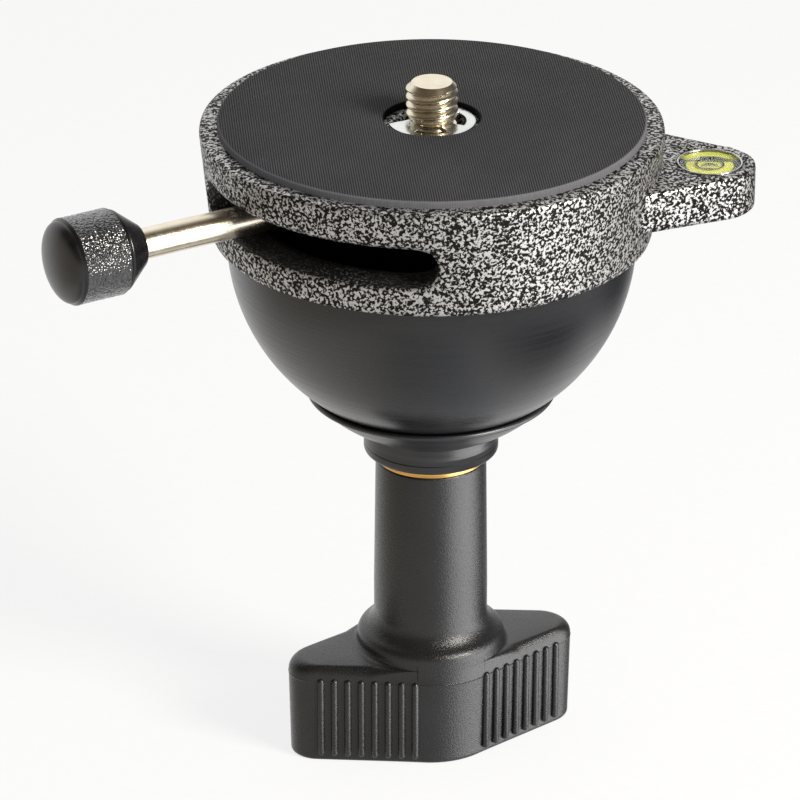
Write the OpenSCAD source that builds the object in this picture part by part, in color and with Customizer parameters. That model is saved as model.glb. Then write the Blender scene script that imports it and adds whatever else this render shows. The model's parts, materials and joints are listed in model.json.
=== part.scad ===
// Leveling base: a half ball that sits in a tripod bowl, with a round head plate on top,
// a lever that turns the head screw, and a long winged grip that clamps the ball from below.
// Millimetres, +Z up, origin at the centre of the ball, bubble level along +X.

/* [Ball] */
// Radius of the half ball, to suit the tripod bowl
ball_r = 37.5; // [34:0.5:50]
// Wall of the hollow ball
ball_wall = 5; // [4.5:0.5:7]
// Height of the ball's top seat above its centre
seat_z = 1.5; // [1:0.1:3]

/* [Head plate] */
// Overhang of the plate's top edge beyond the ball
plate_overhang = 4.8; // [4.2:0.1:8]
// How far the plate's side leans in from top to bottom
plate_draft = 2; // [0:0.1:3]
// Height of the cast plate without its pad
plate_h = 20.1; // [19.5:0.1:24]
// Rounding of the plate's top edge
plate_round = 1.1; // [0.8:0.1:2.5]
// Rounding of the plate's bottom edge
plate_foot_round = 0.7; // [0.3:0.1:1.5]
// Thickness of the wall that the slot runs through
skirt_wall = 9.5; // [8.8:0.1:10.5]
// Thickness of the plate's top web
web_t = 5.1; // [4.5:0.1:6]
// Distance from the pad's edge to the plate's edge
pad_margin = 3.4; // [2.5:0.1:6]
// Thickness of the friction pad
pad_t = 1.35; // [1:0.05:2]
// Radius of the hole in the middle of the pad
pad_hole_r = 8.8; // [8.6:0.1:12]

/* [Bubble level] */
// Distance from the plate's edge to the middle of the level
ear_out = 8.1; // [7.5:0.1:14]
// Radius of the ear's tip
ear_tip_r = 8.4; // [7.5:0.1:11]
// Thickness of the ear
ear_t = 8; // [7.5:0.1:9.5]
// Taper of each side of the ear, in degrees
ear_taper = 26; // [15:1:32]
// Radius of the level cup
level_r = 6; // [4.5:0.1:6.3]

/* [Lever and head screw] */
// Height of the slot in the plate's wall
slot_h = 7.6; // [7:0.1:8]
// Direction of the slot's first end, in degrees
slot_start = 193; // [185:1:205]
// Length of the slot, in degrees
slot_arc = 80; // [70:1:88]
// Direction of the lever as photographed, in degrees
lever_at = 213.5; // [208:0.5:235]
// Diameter of the lever rod
rod_d = 5.6; // [5:0.1:6]
// Distance from the axis to the knob's outer end
lever_reach = 77.8; // [74:0.1:110]
// Diameter of the lever knob
knob_d = 15.8; // [12:0.1:22]
// Length of the lever knob
knob_len = 17.1; // [15:0.1:24]
// Major diameter of the head screw's thread
screw_d = 9.525; // [9:0.005:10]
// Thread pitch of the head screw
screw_pitch = 1.5875; // [1.25:0.0125:1.75]
// Height of the head screw above the pad
screw_out = 6.9; // [6:0.1:12]
// Radius of the retaining clip
clip_r = 7.95; // [7.5:0.05:8.2]

/* [Clamp] */
// Radius of the clamp dish
dish_r = 23.2; // [18:0.1:28]
// Thickness of the clamp dish at its middle
dish_t = 3.1; // [1.4:0.1:4]
// Radius of the collar under the dish
collar_r = 12.55; // [11.5:0.05:15]
// Depth of the collar's lower edge below the ball
collar_drop = 5.85; // [5.5:0.05:9]
// Thickness of the brass washer
washer_t = 1.35; // [1:0.05:2]
// Diameter of the steel stud
stud_d = 10; // [9:0.5:11]
// Way the clamp opens
clamp_travel = 7.5; // [4:0.5:9]

/* [Grip] */
// Radius of the column at its top
column_top_r = 10.35; // [10:0.05:12]
// Radius of the column at its foot
column_foot_r = 10.7; // [10.2:0.05:12.5]
// Length of the column down to its flare
column_len = 31.5; // [28:0.5:60]
// Radius of the hub between the wings
hub_r = 13.9; // [13:0.1:16]
// Reach of each wing from the axis
wing_reach = 28; // [24:0.1:36]
// Radius of the wing tips
tip_r = 4.8; // [3.6:0.1:6]
// Height of the wings
wing_h = 20; // [18:0.1:26]
// How far the wings' sides lean in from top to bottom
wing_draft = 0.35; // [0:0.05:0.6]
// Rounding of the wings' upper edge
wing_round = 2.6; // [1:0.1:3]
// Direction of the wings as photographed, in degrees
wing_turn = 20.5; // [0:0.5:60]
// Ribs on each side of a wing
rib_count = 8; // [4:1:9]
// Distance between ribs
rib_pitch = 2.55; // [2.2:0.05:2.7]
// Radius of a rib
rib_r = 0.68; // [0.4:0.02:0.9]

/* [Hidden] */
$fn = 96;
// Radial clearance of a running fit
run_clear = 0.06;
// Step between the head screw's shank and its thread
shank_step = 0.3;
// Gap between faces of pieces that move apart
face_clear = 0.3;

plate_r = ball_r + plate_overhang;
plate_foot_r = plate_r - plate_draft;
plate_top_z = seat_z + plate_h;
web_z = plate_top_z - web_t;
skirt_r = plate_r - skirt_wall;
pad_r = plate_r - pad_margin;
pad_top_z = plate_top_z + pad_t;
spigot_clear = 0.1;
spigot_r = skirt_r - spigot_clear;
spigot_h = 2.5;
spigot_root = 4;
spigot_wall = 3.3;
ball_in_r = ball_r - ball_wall;
boss_wall = 5;
boss_h = 15.75;
boss_inset = 1;
boss_r = stud_d / 2 + boss_wall;
boss_top_z = boss_h - ball_r;
pad_edge = 0.35;
pad_hole_edge = 0.25;
// Length by which a cutting shape runs past the faces it cuts
over = 1;

slot_up = 9.37;
slot_z = seat_z + slot_up;
slot_r = slot_h / 2;
// Step where the slot's round ends meet its straight run
slot_step = 0.1;
// Length by which the slot's cutter runs past the wall
slot_past = 3;
lever_up = 0.6;
lever_z = slot_z + lever_up;
slot_end_deg = asin(slot_r / plate_r);
slot_a0 = slot_start + slot_end_deg;
slot_a1 = slot_start + slot_arc - slot_end_deg;

screw_r = screw_d / 2;
shank_r = screw_r - shank_step;
thread_depth = 0.6134 * screw_pitch;
screw_top_z = pad_top_z + screw_out;
clip_t = 0.6;
clip_gap = 0.15;
clip_z = plate_top_z + clip_gap;
clip_groove = 0.82;
clip_groove_r = screw_r - clip_groove;
clip_band = 1.7;
clip_mouth_deg = 140;
// Distance from the axis at which the clip's mouth begins, and the lean of its sides
clip_mouth_at = 2.4;
clip_mouth_flare = 70;
clip_mouth_half = clip_r * tan(clip_mouth_flare);
clip_void_arc = 60;
clip_voids = [100, 200];
thread_run_in = 0.4;
thread_z = clip_z + clip_t + thread_run_in;
thread_turns = floor((screw_top_z - thread_z) / screw_pitch);
last_z = thread_z + (thread_turns - 1) * screw_pitch;
screw_tip = 1.1;
thrust_t = 1;
hub_top_z = web_z - face_clear - thrust_t;
hub_below = 4.1;
hub_bottom_z = lever_z - hub_below;
hub_disc_r = 13;
pin_r = 1.25;
pin_short = 0.6;
rod_r = rod_d / 2;
rod_neck = 0.4;
rod_neck_r = rod_r - rod_neck;
rod_gap = 0.45;
rod_in_r = screw_r + rod_gap;
knob_in = lever_reach - knob_len;
knob_r = knob_d / 2;
knob_cone = 4.9;
knob_lip = 0.5;
knob_step = 0.4;
knob_dome = 2.6;
knob_mouth = 1.25;
insert_len = 10;
insert_wall = 0.9;
insert_r = rod_r + insert_wall;
insert_sink = 0.5;

mount_screw_r = 1.5;
mount_screw_head_r = 2.75;
mount_screw_in = 0.1;
mount_screw_at = (ball_r + skirt_r) / 2 - mount_screw_in;
mount_screw_first = 50;
mount_screw_n = 3;
mount_screw_head_t = 1.9;
mount_screw_head_up = 2.1;
mount_screw_head_z = web_z + mount_screw_head_up;
mount_screw_hold = 5.8;
mount_screw_tip_z = seat_z - mount_screw_hold;
mount_screw_play = 0.12;
mount_tap_extra = 0.2;
mount_hex_r = 1.15;
mount_hex_t = 1.2;

ear_at = plate_r + ear_out;
ear_top_up = 4.1;
ear_top_z = slot_z + ear_top_up;
ear_z = ear_top_z - ear_t;
ear_edge = 0.8;
ear_root_r = 19;
ear_root_at = ear_at - (ear_root_r - ear_tip_r) / sin(ear_taper);
cup_depth = 5.6;
cup_proud = 0.15;
cup_wall = 0.55;
cup_floor = 0.8;
lens_t = 1.2;
lens_sink = 0.1;
mark_r = 2.4;
mark_w = 0.4;
mark_t = 0.15;
mark_z = ear_top_z - lens_sink - lens_t - mark_t;

dish_clear = 0.35;
dish_in_r = ball_r + dish_clear;
dish_edge = 0.5;
dish_rim_z = -sqrt(pow(dish_in_r, 2) - pow(dish_r, 2)) - dish_edge;
dish_low_z = -dish_in_r - dish_t;
// The dish's outside is a smaller ball, set lower, so that the dish thins out towards its rim
dish_drop = (pow(dish_low_z, 2) - pow(dish_r, 2) - pow(dish_rim_z, 2)) / (2 * (dish_rim_z - dish_low_z));
dish_out_r = -dish_low_z - dish_drop;
dish_neck = 7.5;
collar_seat = 0.45;
collar_top_z = dish_low_z + collar_seat;
collar_z = -ball_r - collar_drop;
collar_edge = 0.5;
stud_r = stud_d / 2;
stud_chamfer = 0.8;
stud_over = 2;
bush_wall = 1.6;
bush_sink = 0.2;
bush_r = stud_r + bush_wall;
washer_z = collar_z - face_clear - washer_t;
grip_top_z = washer_z;
column_edge = 0.3;
flare_top_z = grip_top_z - column_len;
cove_r = 4.5;
shoulder_r = 2.2;
flare_deg = acos(1 - (hub_r - column_foot_r) / (cove_r + shoulder_r));
shoulder_z = flare_top_z - (cove_r + shoulder_r) * sin(flare_deg);
shoulder_h = 1.5;
wing_top_z = shoulder_z - shoulder_h;
wing_z = wing_top_z - wing_h;
tip_at = wing_reach - tip_r;
hub_proud = 0.15;
wing_root_r = hub_r - hub_proud;
wing_taper = asin((wing_root_r - tip_r) / tip_at);
rib_foot = 1.6;
rib_head = 0.4;
rib_out = 0.1;
rib_edge = 1.75;
column_wall = 1.8;
core_r = column_top_r - column_wall;
insert_top_z = grip_top_z - insert_sink;
insert_h = 17.5;
insert_step = 0.6;
grip_insert_r = core_r - insert_step;
stop_clear = 1;
stop_r = core_r - stop_clear;
stop_h = 5;
stop_gap = 0.4;
stop_top_z = insert_top_z - insert_h - clamp_travel - stop_gap;
stud_tail = 1.2;
stud_low_z = stop_top_z - stop_h - stud_tail;
nut_h = 6;
nut_wall = 4.8;
nut_r = stud_r + nut_wall;
stud_top_z = boss_top_z + nut_h + stud_over;
plug_t = 3;
plug_sink = 0.5;
foot_round = 0.8;

// Points of an arc about (cx, cy), from one angle to another
function arc(cx, cy, r, a0, a1, n = 8) =
    [for (i = [0:n]) [cx + r * cos(a0 + (a1 - a0) * i / n), cy + r * sin(a0 + (a1 - a0) * i / n)]];

// Points of one full turn of the screw's ridge, from its lower root to its upper root
function ridge(z) =
    [[screw_r - thread_depth, z],
     [screw_r, z + screw_pitch * 0.36],
     [screw_r, z + screw_pitch * 0.52],
     [screw_r - thread_depth, z + screw_pitch * 0.88]];

module tube(r_out, r_in, h) {
    difference() {
        cylinder(r = r_out, h = h);
        translate([0, 0, -over]) cylinder(r = r_in, h = h + 2 * over);
    }
}

// Turns a shape whose axis is Z so that it points outward along the lever
module along_lever(at) {
    rotate([0, 0, lever_at]) translate([at, 0, lever_z]) rotate([0, 90, 0]) children();
}

module half_ball() {
    color("#1c1d20") difference() {
        union() {
            difference() {
                sphere(r = ball_r);
                translate([0, 0, ball_r + seat_z])
                    cube([3 * ball_r, 3 * ball_r, 2 * ball_r], center = true);
                sphere(r = ball_in_r);
            }
            translate([0, 0, seat_z - spigot_root])
                tube(spigot_r, spigot_r - spigot_wall, spigot_root + spigot_h);
            intersection() {
                sphere(r = ball_r - boss_inset);
                translate([0, 0, -ball_r]) cylinder(r = boss_r, h = ball_r + boss_top_z);
            }
        }
        translate([0, 0, -ball_r - over]) cylinder(r = stud_r, h = ball_r + over);
        for (i = [0:mount_screw_n - 1])
            rotate([0, 0, mount_screw_first + i * 360 / mount_screw_n])
                translate([mount_screw_at, 0, mount_screw_tip_z - mount_tap_extra])
                    cylinder(r = mount_screw_r, h = seat_z - mount_screw_tip_z + mount_tap_extra + over);
    }
}

module plate_profile() {
    polygon(concat(
        [[0, seat_z]],
        arc(plate_foot_r - plate_foot_round, seat_z + plate_foot_round, plate_foot_round, -90, 0, 4),
        arc(plate_r - plate_round, plate_top_z - plate_round, plate_round, 0, 90, 6),
        [[0, plate_top_z]]));
}

module ear_disc(r) {
    rotate_extrude($fn = 72) polygon(concat(
        [[0, 0]],
        arc(r - ear_edge, ear_edge, ear_edge, -90, 0, 4),
        arc(r - ear_edge, ear_t - ear_edge, ear_edge, 0, 90, 4),
        [[0, ear_t]]));
}

module slot_cut() {
    inner = skirt_r - slot_past;
    depth = skirt_wall + 2 * slot_past;
    rotate([0, 0, slot_a0]) rotate_extrude(angle = slot_a1 - slot_a0)
        translate([inner, slot_z - slot_r]) square([depth, slot_h]);
    for (a = [slot_a0, slot_a1])
        rotate([0, 0, a]) translate([inner, 0, slot_z]) rotate([0, 90, 0]) rotate([0, 0, 45])
            cylinder(r = slot_r - slot_step, h = depth);
}

module top_plate() {
    color("#55534f") difference() {
        union() {
            rotate_extrude() plate_profile();
            translate([0, 0, ear_z]) hull() {
                translate([ear_at, 0, 0]) ear_disc(ear_tip_r);
                translate([ear_root_at, 0, 0]) ear_disc(ear_root_r);
            }
        }
        translate([0, 0, seat_z - over]) cylinder(r = skirt_r, h = web_z - seat_z + over);
        translate([0, 0, web_z - over]) cylinder(r = shank_r + run_clear, h = web_t + 2 * over);
        slot_cut();
        translate([ear_at, 0, ear_top_z - cup_depth]) cylinder(r = level_r, h = cup_depth + over);
        for (i = [0:mount_screw_n - 1])
            rotate([0, 0, mount_screw_first + i * 360 / mount_screw_n])
                translate([mount_screw_at, 0, 0]) {
                    cylinder(r = mount_screw_r + mount_screw_play, h = plate_top_z + over);
                    translate([0, 0, mount_screw_head_z - mount_screw_head_t])
                        cylinder(r = mount_screw_head_r + mount_screw_play, h = web_t + 2 * over);
                }
    }
}

module friction_pad() {
    color("#3a3a3c") rotate_extrude() polygon(concat(
        [[pad_hole_r, plate_top_z], [pad_r, plate_top_z]],
        arc(pad_r - pad_edge, pad_top_z - pad_edge, pad_edge, 0, 90, 3),
        arc(pad_hole_r + pad_hole_edge, pad_top_z - pad_hole_edge, pad_hole_edge, 90, 180, 3)));
}

module plate_screws() {
    color("#8b8d90")
        for (i = [0:mount_screw_n - 1])
            rotate([0, 0, mount_screw_first + i * 360 / mount_screw_n])
                translate([mount_screw_at, 0, 0]) difference() {
                    union() {
                        translate([0, 0, mount_screw_tip_z])
                            cylinder(r = mount_screw_r, h = mount_screw_head_z - mount_screw_tip_z);
                        translate([0, 0, mount_screw_head_z - mount_screw_head_t])
                            cylinder(r = mount_screw_head_r, h = mount_screw_head_t);
                    }
                    translate([0, 0, mount_screw_head_z - mount_hex_t])
                        cylinder(r = mount_hex_r, h = mount_hex_t + over, $fn = 6);
                }
}

module stud() {
    color("#9a9c9f") difference() {
        rotate_extrude() polygon([
            [0, stud_low_z], [stud_r - stud_chamfer, stud_low_z], [stud_r, stud_low_z + stud_chamfer],
            [stud_r, stud_top_z - stud_chamfer], [stud_r - stud_chamfer, stud_top_z], [0, stud_top_z]]);
        translate([0, 0, stop_top_z - stop_h / 2]) rotate([90, 0, 0])
            cylinder(r = pin_r, h = 4 * stud_r, center = true);
    }
}

module stud_nut() {
    color("#8b8d90") translate([0, 0, boss_top_z]) difference() {
        cylinder(r = nut_r, h = nut_h, $fn = 6);
        translate([0, 0, -over]) cylinder(r = stud_r, h = nut_h + 2 * over);
    }
}

module stop_ring() {
    color("#8b8d90") difference() {
        translate([0, 0, stop_top_z - stop_h]) tube(stop_r, stud_r, stop_h);
        translate([0, 0, stop_top_z - stop_h / 2]) rotate([90, 0, 0])
            cylinder(r = pin_r, h = 4 * stop_r, center = true);
    }
}

module stop_pin() {
    color("#6f7275") translate([0, 0, stop_top_z - stop_h / 2]) rotate([90, 0, 0])
        cylinder(r = pin_r, h = 2 * (stop_r - pin_short), center = true);
}

module level_cup() {
    color("#c9cbc6") translate([ear_at, 0, ear_top_z - cup_depth]) difference() {
        cylinder(r = level_r, h = cup_depth + cup_proud);
        translate([0, 0, cup_floor]) cylinder(r = level_r - cup_wall, h = cup_depth);
    }
}

module level_fluid() {
    color("#d3d838") translate([ear_at, 0, ear_top_z - cup_depth + cup_floor])
        cylinder(r = level_r - cup_wall, h = mark_z - ear_top_z + cup_depth - cup_floor);
}

module level_ring() {
    color("#14150f") translate([ear_at, 0, mark_z])
        tube(mark_r + mark_w / 2, mark_r - mark_w / 2, mark_t);
}

module level_lens() {
    color("#e6efc0") translate([ear_at, 0, mark_z + mark_t])
        cylinder(r = level_r - cup_wall, h = lens_t);
}

module head_screw() {
    color("#c8c0b0") difference() {
        rotate_extrude() polygon(concat(
            [[0, hub_bottom_z], [shank_r, hub_bottom_z], [shank_r, clip_z],
             [clip_groove_r, clip_z], [clip_groove_r, clip_z + clip_t],
             [screw_r - thread_depth, clip_z + clip_t]],
            [for (i = [0:thread_turns - 2]) each ridge(thread_z + i * screw_pitch)],
            [[screw_r - thread_depth, last_z], [screw_r, last_z + screw_pitch * 0.36],
             [screw_r, screw_top_z - screw_tip], [screw_r - screw_tip, screw_top_z], [0, screw_top_z]]));
        rotate([0, 0, lever_at]) translate([0, 0, lever_z]) rotate([90, 0, 0])
            cylinder(r = pin_r, h = 4 * screw_r, center = true);
    }
}

module drive_hub() {
    color("#77797c") difference() {
        translate([0, 0, hub_bottom_z]) tube(hub_disc_r, shank_r, hub_top_z - hub_bottom_z);
        along_lever(screw_r) cylinder(r = rod_neck_r, h = hub_disc_r);
        rotate([0, 0, lever_at]) translate([0, 0, lever_z]) rotate([90, 0, 0])
            cylinder(r = pin_r, h = 4 * hub_disc_r, center = true);
    }
}

module hub_pin() {
    color("#6f7275") rotate([0, 0, lever_at]) translate([0, 0, lever_z]) rotate([90, 0, 0])
        cylinder(r = pin_r, h = 2 * (hub_disc_r - pin_short), center = true);
}

module lever_rod() {
    color("#c9c2b4") union() {
        along_lever(rod_in_r) cylinder(r = rod_neck_r, h = hub_disc_r - rod_in_r + over);
        along_lever(hub_disc_r + face_clear)
            cylinder(r = rod_r, h = knob_in + insert_len - hub_disc_r - face_clear);
    }
}

module lever_knob() {
    dome_z = knob_len - knob_dome;
    color("#17171a") along_lever(knob_in) difference() {
        rotate_extrude() polygon(concat(
            [[0, 0], [rod_r + knob_mouth, 0], [knob_r - knob_step, knob_cone],
             [knob_r, knob_cone + knob_lip], [knob_r, dome_z - knob_lip], [knob_r - knob_step, dome_z]],
            [for (a = [0:11.25:90]) [(knob_r - knob_step) * cos(a), dome_z + knob_dome * sin(a)]]));
        translate([0, 0, -over]) cylinder(r = insert_r, h = insert_len + insert_sink + over);
    }
}

module knob_insert() {
    color("#b9975b") along_lever(knob_in + insert_sink) tube(insert_r, rod_r, insert_len - insert_sink);
}

module clip_void(a) {
    rotate([0, 0, clip_mouth_deg + a]) rotate_extrude(angle = clip_void_arc)
        translate([0, -over]) square([clip_r - clip_band, clip_t + 2 * over]);
}

module retaining_clip() {
    color("#cfcac0") translate([0, 0, clip_z]) difference() {
        tube(clip_r, clip_groove_r, clip_t);
        for (a = clip_voids) clip_void(a);
        rotate([0, 0, clip_mouth_deg]) translate([clip_mouth_at, 0, -over]) linear_extrude(clip_t + 2 * over)
            polygon([[0, 0], [clip_r, -clip_mouth_half], [clip_r, clip_mouth_half]]);
    }
}

module thrust_washer() {
    color("#a98a52") translate([0, 0, hub_top_z]) tube(hub_disc_r - thrust_t, shank_r, thrust_t);
}

module clamp_dish() {
    color("#1a1b1d") difference() {
        union() {
            intersection() {
                difference() {
                    translate([0, 0, -dish_drop]) sphere(r = dish_out_r);
                    sphere(r = dish_in_r);
                }
                translate([0, 0, -2 * ball_r]) cylinder(r = dish_r, h = 2 * ball_r);
            }
            difference() {
                translate([0, 0, collar_top_z]) cylinder(r = collar_r, h = dish_neck);
                sphere(r = dish_in_r + dish_t / 2);
            }
        }
        translate([0, 0, -2 * ball_r]) cylinder(r = bush_r, h = 2 * ball_r);
    }
}

module collar() {
    color("#202124") rotate_extrude() polygon(concat(
        [[bush_r, collar_z]],
        arc(collar_r - collar_edge, collar_z + collar_edge, collar_edge, -90, 0, 4),
        [[collar_r, collar_top_z], [bush_r, collar_top_z]]));
}

module guide_bush() {
    color("#b08d57") translate([0, 0, collar_z + bush_sink])
        tube(bush_r, stud_r + run_clear, -dish_in_r - collar_z - 2 * bush_sink);
}

module brass_washer() {
    color("#d9ab58") translate([0, 0, washer_z]) tube(column_top_r, stud_r + face_clear, washer_t);
}

module grip_profile() {
    polygon(concat(
        [[0, grip_top_z], [column_top_r - column_edge, grip_top_z], [column_top_r, grip_top_z - column_edge]],
        arc(column_foot_r + cove_r, flare_top_z, cove_r, 180, 180 + flare_deg, 6),
        arc(hub_r - shoulder_r, shoulder_z, shoulder_r, flare_deg, 0, 6),
        [[hub_r, wing_top_z - wing_round], [hub_r - wing_draft, wing_z + foot_round],
         [hub_r - wing_draft - foot_round, wing_z], [0, wing_z]]));
}

module wing_disc(r) {
    rotate_extrude($fn = 60) polygon(concat(
        [[0, 0], [r - wing_draft - foot_round, 0], [r - wing_draft, foot_round]],
        arc(r - wing_round, wing_h - wing_round, wing_round, 0, 90, 5),
        [[0, wing_h]]));
}

module wing_ribs() {
    rib_z = wing_z + rib_foot;
    rib_top = wing_top_z - wing_round - rib_head;
    first = tip_at * cos(wing_taper) - rib_edge - (rib_count - 1) * rib_pitch;
    for (flip = [0, 1], i = [0:rib_count - 1])
        mirror([0, flip, 0]) rotate([0, 0, 90 - wing_taper])
            translate([wing_root_r + rib_out, -first - i * rib_pitch, 0])
                rotate_extrude($fn = 24) polygon(concat(
                    [[0, rib_z], [rib_r, rib_z]], arc(0, rib_top, rib_r, 0, 90, 3)));
}

module handle() {
    color("#232326") difference() {
        union() {
            rotate_extrude() grip_profile();
            rotate([0, 0, wing_turn]) {
                translate([0, 0, wing_z]) hull() {
                    wing_disc(wing_root_r);
                    translate([tip_at, 0, 0]) wing_disc(tip_r);
                    translate([-tip_at, 0, 0]) wing_disc(tip_r);
                }
                wing_ribs();
                rotate([0, 0, 180]) wing_ribs();
            }
        }
        translate([0, 0, insert_top_z - insert_h]) cylinder(r = grip_insert_r, h = insert_h + 2 * over);
        translate([0, 0, wing_z - over])
            cylinder(r = core_r, h = insert_top_z - insert_h - wing_z + over);
    }
}

module thread_insert() {
    color("#c09a52") translate([0, 0, insert_top_z - insert_h])
        tube(grip_insert_r, stud_r + run_clear, insert_h);
}

module bottom_plug() {
    color("#1d1d1f") translate([0, 0, wing_z + plug_sink]) cylinder(r = core_r, h = plug_t);
}

half_ball();
top_plate();
friction_pad();
plate_screws();
stud();
stud_nut();
stop_ring();
stop_pin();
level_cup();
level_fluid();
level_ring();
level_lens();
head_screw();
drive_hub();
hub_pin();
lever_rod();
lever_knob();
knob_insert();
retaining_clip();
thrust_washer();
clamp_dish();
collar();
guide_bush();
brass_washer();
handle();
thread_insert();
bottom_plug();
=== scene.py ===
import json
import math

import bmesh
import bpy
from mathutils import Matrix, Vector, noise


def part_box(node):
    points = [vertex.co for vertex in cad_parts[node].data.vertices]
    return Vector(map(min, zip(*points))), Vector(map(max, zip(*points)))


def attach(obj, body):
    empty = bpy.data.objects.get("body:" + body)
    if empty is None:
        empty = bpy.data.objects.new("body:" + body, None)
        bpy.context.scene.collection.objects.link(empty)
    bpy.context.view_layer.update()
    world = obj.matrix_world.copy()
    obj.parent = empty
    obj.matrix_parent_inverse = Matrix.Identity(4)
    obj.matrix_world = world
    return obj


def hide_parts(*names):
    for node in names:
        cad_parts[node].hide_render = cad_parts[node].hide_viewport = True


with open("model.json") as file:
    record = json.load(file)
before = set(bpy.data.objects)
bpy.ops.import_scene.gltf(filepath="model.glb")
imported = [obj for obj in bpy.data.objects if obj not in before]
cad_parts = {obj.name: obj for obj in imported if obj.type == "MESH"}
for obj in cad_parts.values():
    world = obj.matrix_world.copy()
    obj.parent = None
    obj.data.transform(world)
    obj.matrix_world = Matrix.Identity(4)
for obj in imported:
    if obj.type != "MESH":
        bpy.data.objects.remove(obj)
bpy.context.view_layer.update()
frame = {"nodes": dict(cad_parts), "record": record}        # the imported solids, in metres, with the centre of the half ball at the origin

MM = 0.001
CLOSE = 0.01        # millimetres within which a vertex counts as on a row
WIDE_STEPS = 144        # faces round a large turned piece


# Helpers for shapes, all in millimetres until they become a mesh

def span(node):
    """Lowest and highest corner of a solid at rest, in millimetres."""
    return [[value / MM for value in corner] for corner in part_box(node)]


def arc(centre_r, centre_z, radius, start, end, pieces):
    """Points of an arc in a half section, between two angles in degrees."""
    turns = [math.radians(start + (end - start) * i / pieces) for i in range(pieces + 1)]
    return [(centre_r + radius * math.cos(t), centre_z + radius * math.sin(t)) for t in turns]


def lathe(section, steps, closed=False):
    """Turns a half section of (radius, height) points about Z."""
    bm = bmesh.new()
    verts = [bm.verts.new((r * MM, 0, z * MM)) for r, z in section]
    chain = verts + verts[:1] if closed else verts
    edges = [bm.edges.new(pair) for pair in zip(chain, chain[1:])]
    bmesh.ops.spin(bm, geom=verts + edges, cent=(0, 0, 0), axis=(0, 0, 1), dvec=(0, 0, 0),
                   angle=math.tau, steps=steps, use_merge=True, use_duplicate=False)
    return tidy(bm)


def tidy(bm):
    """Closes seams and poles and turns all faces outward."""
    bmesh.ops.remove_doubles(bm, verts=bm.verts, dist=0.0005 * MM)
    bmesh.ops.recalc_face_normals(bm, faces=bm.faces)
    return bm


def place(bm, *moves):
    """Moves a shape by the given matrices, first one first."""
    for move in moves:
        bmesh.ops.transform(bm, matrix=move, verts=bm.verts)
    return bm


def shift(x, y, z):
    return Matrix.Translation(Vector((x, y, z)) * MM)


def turn(degrees, axis):
    return Matrix.Rotation(math.radians(degrees), 4, axis)


def join(bm, other):
    """Adds another shape to a shape."""
    mesh = bpy.data.meshes.new("joined")
    other.to_mesh(mesh)
    other.free()
    bm.from_mesh(mesh)
    bpy.data.meshes.remove(mesh)
    return bm


def polar(vert):
    """Radius, direction in degrees from 0 to 360, and height of a vertex, in millimetres."""
    x, y, z = vert / MM
    return math.hypot(x, y), math.degrees(math.atan2(y, x)) % 360, z


def from_polar(radius, degrees, z):
    t = math.radians(degrees)
    return Vector((radius * math.cos(t), radius * math.sin(t), z)) * MM


def add_piece(name, bm, body, finish, slot, *nodes, levels=0, sharp=40):
    """Puts a finished shape in the scene, where it rides on a body and stands for its solids."""
    mesh = bpy.data.meshes.new(name)
    bm.to_mesh(mesh)
    bm.free()
    mesh.shade_smooth()
    mesh.materials.append(finish)
    piece = bpy.data.objects.new(name, mesh)
    bpy.context.scene.collection.objects.link(piece)
    if levels:
        soften = piece.modifiers.new("soften", "SUBSURF")
        soften.levels = soften.render_levels = levels
    else:
        mesh.set_sharp_from_angle(angle=math.radians(sharp))
    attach(piece, body)
    if nodes:
        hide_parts(*nodes)
    return piece


# Helpers for finishes

def linear(code):
    """An sRGB hex colour as linear red, green, blue and alpha."""
    parts = [int(code[i:i + 2], 16) / 255 for i in (1, 3, 5)]
    return [p / 12.92 if p <= 0.04045 else ((p + 0.055) / 1.055) ** 2.4 for p in parts] + [1]


def plug(tree, node, inputs):
    """Links or sets each named input of a node."""
    for socket, value in inputs.items():
        if isinstance(value, bpy.types.NodeSocket):
            tree.links.new(value, node.inputs[socket])
        else:
            node.inputs[socket].default_value = value


def add(tree, kind, inputs={}, out=0, stops=(), **settings):
    """Adds a node with its inputs, settings and stops of (position, sRGB hex), and gives one output."""
    node = tree.nodes.new("ShaderNode" + kind)
    for name, value in settings.items():
        setattr(node, name, value)
    if stops:
        points = node.color_ramp.elements
        while len(points) < len(stops):
            points.new(1)
        for point, (position, code) in zip(points, stops):
            point.position = position
            point.color = linear(code)
    plug(tree, node, inputs)
    return node.outputs[out]


def new_finish(name, **constants):
    """A material with one shader, whose constant values are set on its own sockets."""
    finish = bpy.data.materials.new(name)
    finish.use_nodes = True
    tree = finish.node_tree
    shader = tree.nodes["Principled BSDF"]
    plug(tree, shader, {socket.replace("_", " "): value for socket, value in constants.items()})
    spot = add(tree, "TexCoord", out="Object")
    return finish, tree, shader, spot


def per_mm(size):
    """Texture scale that makes one cell of a pattern this many millimetres."""
    return 1 / (size * MM)


# Sizes from the frame, in millimetres

(plate_low, plate_high), (cup_low, cup_high) = span("top_plate"), span("level_cup")
(screw_low, screw_high), (clip_low, clip_high) = span("head_screw"), span("retaining_clip")
(rod_low, rod_high), (grip_low, grip_high) = span("lever_rod"), span("handle")
(collar_low, collar_high), (washer_low, washer_high) = span("collar"), span("brass_washer")
pad_high, ball_high, dish_high = span("friction_pad")[1], span("half_ball")[1], span("clamp_dish")[1]
bush_high, lens_high, plug_high = span("guide_bush")[1], span("level_lens")[1], span("bottom_plug")[1]

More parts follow.
